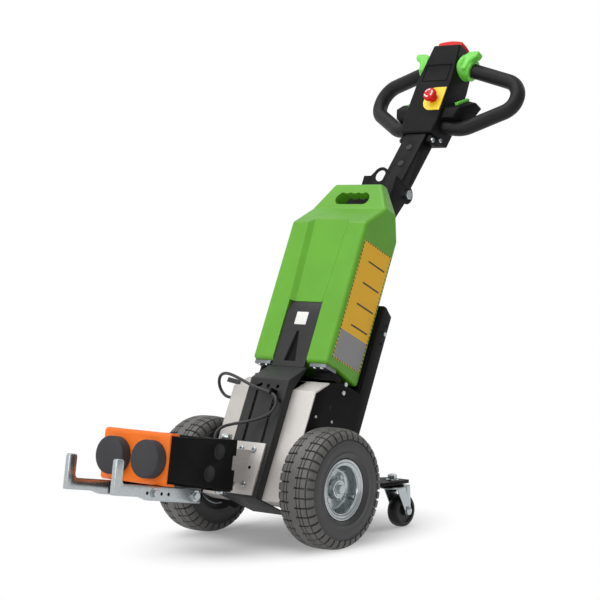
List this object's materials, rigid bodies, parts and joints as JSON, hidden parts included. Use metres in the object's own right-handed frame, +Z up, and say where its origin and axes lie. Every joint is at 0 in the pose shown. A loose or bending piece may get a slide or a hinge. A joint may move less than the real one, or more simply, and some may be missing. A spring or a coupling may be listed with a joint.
{
  "type": "electric tow tractor",
  "caption": "Walk-behind electric tug with leaning chassis, lift-out battery, loop-handled tiller, rear swivel casters and a swinging hitch with buffers and hooks.",
  "frame": {"origin": "on the ground under the middle of the whole machine's box", "axes": "+Z up, -Y towards the hitch, +Y towards the handle, +X across to the machine's right as seen from the hitch's left"},
  "size_m": [0.453, 1.2696, 1.1293],
  "materials": {
    "battery_green": "moulded polyethylene, soft gloss",
    "black_powder": "fine textured powder coat",
    "stainless": "brushed stainless sheet",
    "zinc": "bright zinc plate",
    "orange_powder": "gloss powder coat",
    "buffer_rubber": "matt moulded rubber",
    "tyre_rubber": "grey-black tread rubber",
    "black_plastic": "fine grained moulding",
    "lever_green": "bright moulded plastic",
    "stop_red": "glossy red plastic",
    "plate_yellow": "printed yellow plate, blank",
    "drive_casting": "plain cast housing",
    "cable_jacket": "smooth cable jacket"
  },
  "bodies": {
    "chassis": {"battery_case": "battery_green", "battery_contacts": "stainless", "dock_blocks": "black_plastic", "dock_floor": "black_powder", "back_plate": "black_powder", "dock_tongue": "black_powder", "front_channel": "black_powder", "motor_cover": "stainless", "side_plate_left": "black_powder", "side_plate_right": "black_powder", "drive_unit": "drive_casting", "axle_housing": "black_powder", "spine": "black_powder", "tiller_bolt": "zinc", "caster_beam": "black_powder", "caster_stem_left": "zinc", "caster_stem_right": "zinc", "hitch_bracket": "stainless", "hitch_pin": "zinc", "cable": "cable_jacket", "cable_gland": "black_plastic"},
    "wheel_left": {"tyre_left": "tyre_rubber", "rim_left": "zinc", "drive_shaft_left": "zinc"},
    "wheel_right": {"tyre_right": "tyre_rubber", "rim_right": "zinc", "drive_shaft_right": "zinc"},
    "tiller": {"tiller_column": "black_powder", "head_clamp": "black_powder", "head_housing": "black_plastic", "belly_switch": "stop_red", "handle_loop_left": "black_plastic", "handle_loop_right": "black_plastic", "thumb_lever_left": "lever_green", "thumb_lever_right": "lever_green", "thumb_button_left": "lever_green", "thumb_button_right": "lever_green", "stop_plate": "plate_yellow", "stop_button": "stop_red"},
    "caster_left": {"caster_fork_left": "zinc", "caster_axle_left": "zinc"},
    "caster_right": {"caster_fork_right": "zinc", "caster_axle_right": "zinc"},
    "caster_roller_left": {"caster_wheel_left": "buffer_rubber"},
    "caster_roller_right": {"caster_wheel_right": "buffer_rubber"},
    "hitch": {"hitch_arm": "black_powder", "hitch_head": "orange_powder", "buffer_left": "buffer_rubber", "buffer_right": "buffer_rubber", "hook_rail_left": "black_powder", "hook_rail_right": "black_powder", "hook_bar_left": "zinc", "hook_bar_right": "zinc"}
  },
  "joints": [
    {"name": "left_wheel_spin", "type": "hinge", "parent": "chassis", "child": "wheel_left", "pos_m": [-0.1805, -0.09478, 0.13], "axis": [1, 0, 0], "continuous": true},
    {"name": "right_wheel_spin", "type": "hinge", "parent": "chassis", "child": "wheel_right", "pos_m": [0.1805, -0.09478, 0.13], "axis": [1, 0, 0], "continuous": true},
    {"name": "left_caster_swivel", "type": "hinge", "parent": "chassis", "child": "caster_left", "pos_m": [-0.125, 0.19722, 0.095], "axis": [0, 0, 1], "continuous": true},
    {"name": "left_caster_roll", "type": "hinge", "parent": "caster_left", "child": "caster_roller_left", "pos_m": [-0.125, 0.23022, 0.0375], "axis": [1, 0, 0], "continuous": true},
    {"name": "right_caster_swivel", "type": "hinge", "parent": "chassis", "child": "caster_right", "pos_m": [0.125, 0.19722, 0.095], "axis": [0, 0, 1], "continuous": true},
    {"name": "right_caster_roll", "type": "hinge", "parent": "caster_right", "child": "caster_roller_right", "pos_m": [0.125, 0.23022, 0.0375], "axis": [1, 0, 0], "continuous": true},
    {"name": "tiller_tilt", "type": "hinge", "parent": "chassis", "child": "tiller", "pos_m": [0, 0.35286, 0.75784], "axis": [-1, 0, 0], "range_deg": [-30, 35]},
    {"name": "hitch_swing", "type": "hinge", "parent": "chassis", "child": "hitch", "pos_m": [0, -0.23478, 0.18], "axis": [0, 0.1564, 0.9877], "range_deg": [-40, 40]}
  ]
}
